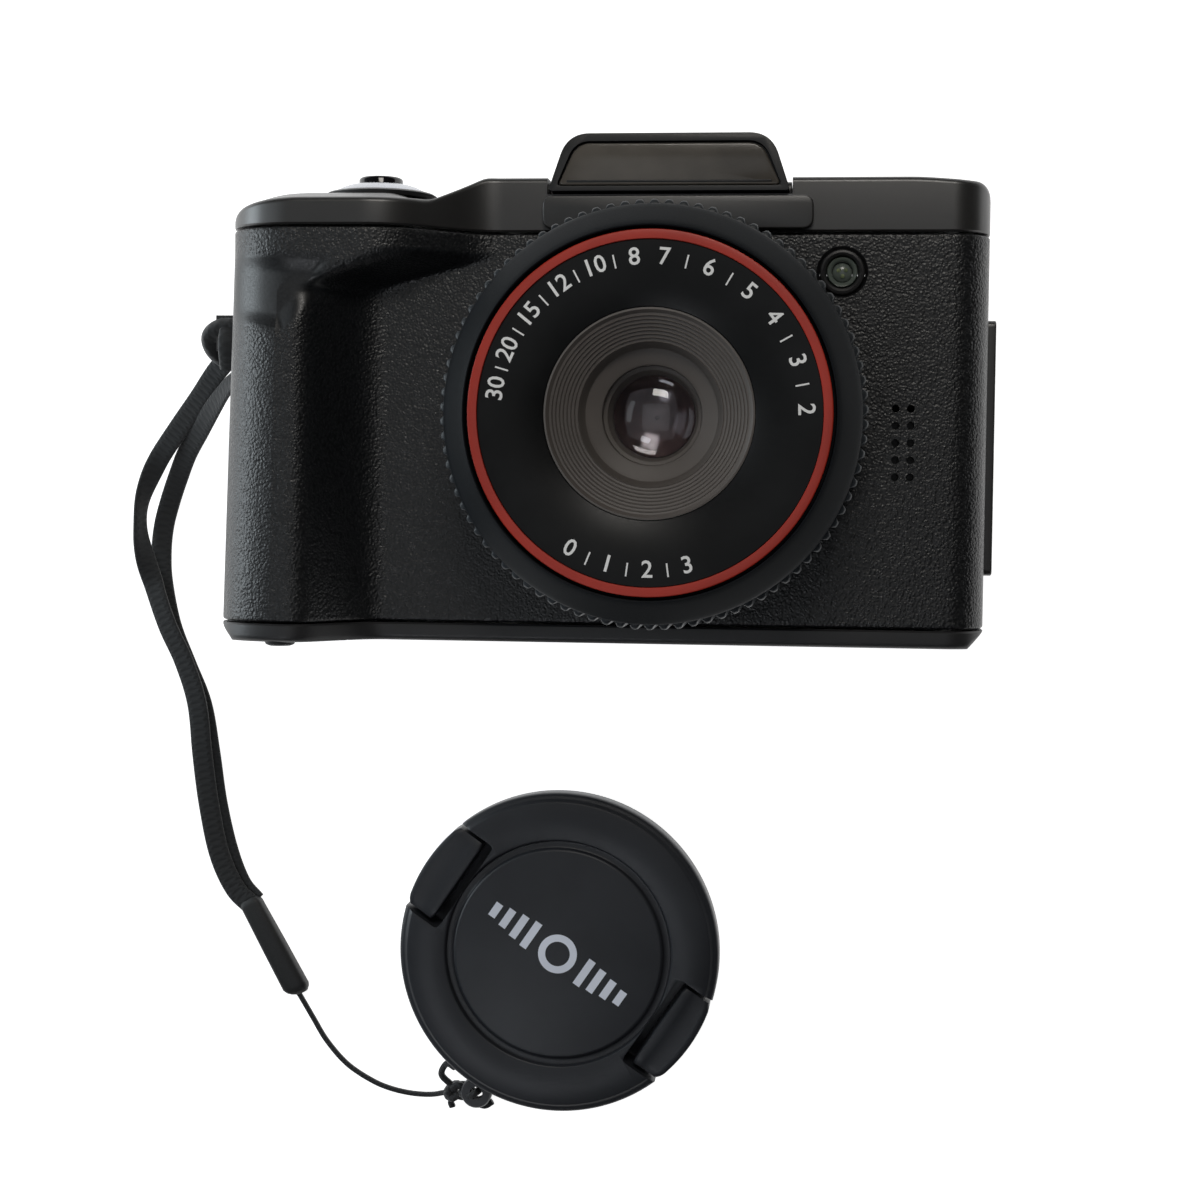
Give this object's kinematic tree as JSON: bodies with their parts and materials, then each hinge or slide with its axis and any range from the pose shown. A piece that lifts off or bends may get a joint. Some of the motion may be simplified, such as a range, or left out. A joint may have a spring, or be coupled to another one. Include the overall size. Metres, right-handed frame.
{
  "type": "compact digital camera",
  "caption": "Compact digital camera with a deep grip, a pop-up flash, a large knurled lens ring and a pinch lens cap tethered to its wrist strap.",
  "frame": {"origin": "under the middle of the camera and its cap, on the surface that they lie on", "axes": "+Z straight out of the lens, +Y towards the camera's top plate, +X to the right of someone who faces the lens"},
  "size_m": [0.1311, 0.1467, 0.052],
  "materials": {
    "grained_plastic": "moulded leather grain, matte",
    "satin_plastic": "fine satin",
    "base_plastic": "satin",
    "gloss_plastic": "polished",
    "ring_plastic": "semi-matte",
    "red_trim": "painted",
    "grey_baffle": "ribbed matte",
    "optical_glass": "coated",
    "clear_plastic": "clear",
    "silver_trim": "satin chrome",
    "steel": "plain",
    "brass": "plain",
    "circuit_board": "solder mask",
    "cap_plastic": "fine satin",
    "rubber": "matte",
    "webbing": "woven polyester",
    "battery_sleeve": "printed sleeve"
  },
  "bodies": {
    "root": {"front_shell": "grained_plastic", "rear_shell": "satin_plastic", "top_cover": "satin_plastic", "base_plate": "base_plastic", "hump_fascia": "satin_plastic", "tripod_nut": "brass", "battery_bay": "base_plastic", "battery": "battery_sleeve", "battery_contact": "brass", "flash_hinge_pin": "steel", "flash_spring": "steel", "shutter_collar": "silver_trim", "shutter_switch": "base_plastic", "screen_frame": "gloss_plastic", "screen_window": "gloss_plastic", "screen_module": "base_plastic", "main_board": "circuit_board", "led_bezel": "base_plastic", "led_lamp": "clear_plastic", "speaker": "base_plastic", "usb_socket": "steel", "card_slot": "steel", "strap_lug": "base_plastic", "base_screw_1": "steel", "base_screw_2": "steel", "base_screw_3": "steel", "base_screw_4": "steel", "foot_1": "rubber", "foot_2": "rubber", "lens_barrel": "ring_plastic", "red_ring": "red_trim", "lens_face": "gloss_plastic", "baffle_cone": "grey_baffle", "lens_holder": "ring_plastic", "front_lens": "optical_glass", "rear_lens": "optical_glass", "image_sensor": "base_plastic", "sensor_board": "circuit_board", "cap_body": "cap_plastic", "strap_strand_outer": "webbing", "strap_strand_inner": "webbing", "strap_sleeve": "rubber", "cap_tether": "webbing", "tether_knot": "webbing"},
    "focus_ring": {"knurled_ring": "ring_plastic"},
    "flash": {"flash_head": "satin_plastic", "flash_window": "gloss_plastic", "flash_reflector": "silver_trim", "flash_tube": "clear_plastic"},
    "shutter": {"shutter_button": "gloss_plastic"},
    "power": {"power_button": "silver_trim"},
    "rocker": {"zoom_rocker": "gloss_plastic"},
    "menu": {"menu_button": "gloss_plastic"},
    "play": {"play_button": "gloss_plastic"},
    "pad": {"four_way_pad": "gloss_plastic"},
    "ok": {"ok_button": "gloss_plastic"},
    "side_flap": {"side_door": "satin_plastic"},
    "battery_flap": {"battery_door": "base_plastic"},
    "tab_1": {"cap_tab_1": "cap_plastic"},
    "tab_2": {"cap_tab_2": "cap_plastic"}
  },
  "joints": [
    {"name": "focus_ring_turn", "type": "hinge", "parent": "root", "child": "focus_ring", "pos_m": [0.0099, 0.03299, 0.045], "axis": [0, 0, 1], "range_deg": [0, 90]},
    {"name": "flash_lift", "type": "hinge", "parent": "root", "child": "flash", "pos_m": [0.0105, 0.06459, 0.0088], "axis": [-1, 0, 0], "range_deg": [0, 30]},
    {"name": "shutter_press", "type": "slide", "parent": "root", "child": "shutter", "axis": [0, -1, 0], "range_m": [0, 0.0008], "stiffness_N_per_m": 300, "springref_m": -0.0005},
    {"name": "power_press", "type": "slide", "parent": "root", "child": "power", "axis": [0, -1, 0], "range_m": [0, 0.0005], "stiffness_N_per_m": 300, "springref_m": -0.0005},
    {"name": "zoom_rock", "type": "hinge", "parent": "root", "child": "rocker", "pos_m": [-0.0254, 0.05139, 0.0022], "axis": [0, 1, 0], "range_deg": [-2, 2], "stiffness_Nm_per_rad": 0.05},
    {"name": "menu_press", "type": "slide", "parent": "root", "child": "menu", "axis": [0, 0, 1], "range_m": [0, 0.0005], "stiffness_N_per_m": 300, "springref_m": -0.0005},
    {"name": "play_press", "type": "slide", "parent": "root", "child": "play", "axis": [0, 0, 1], "range_m": [0, 0.0005], "stiffness_N_per_m": 300, "springref_m": -0.0005},
    {"name": "pad_press", "type": "slide", "parent": "root", "child": "pad", "axis": [0, 0, 1], "range_m": [0, 0.0005], "stiffness_N_per_m": 300, "springref_m": -0.0005},
    {"name": "ok_press", "type": "slide", "parent": "root", "child": "ok", "axis": [0, 0, 1], "range_m": [0, 0.0005], "stiffness_N_per_m": 300, "springref_m": -0.0005},
    {"name": "side_door_hinge", "type": "hinge", "parent": "root", "child": "side_flap", "pos_m": [0.0569, 0.02959, 0.0208], "axis": [0, -1, 0], "range_deg": [0, 110]},
    {"name": "battery_door_hinge", "type": "hinge", "parent": "root", "child": "battery_flap", "pos_m": [-0.0346, 0.00119, 0.01775], "axis": [0, 0, 1], "range_deg": [0, 100]},
    {"name": "cap_tab_1_press", "type": "slide", "parent": "root", "child": "tab_1", "axis": [-0.829, 0.5592, 0], "range_m": [0, 0.0008], "stiffness_N_per_m": 500, "springref_m": -0.0005},
    {"name": "cap_tab_2_press", "type": "slide", "parent": "root", "child": "tab_2", "axis": [0.829, -0.5592, 0], "range_m": [0, 0.0008], "stiffness_N_per_m": 500, "springref_m": -0.0005}
  ]
}
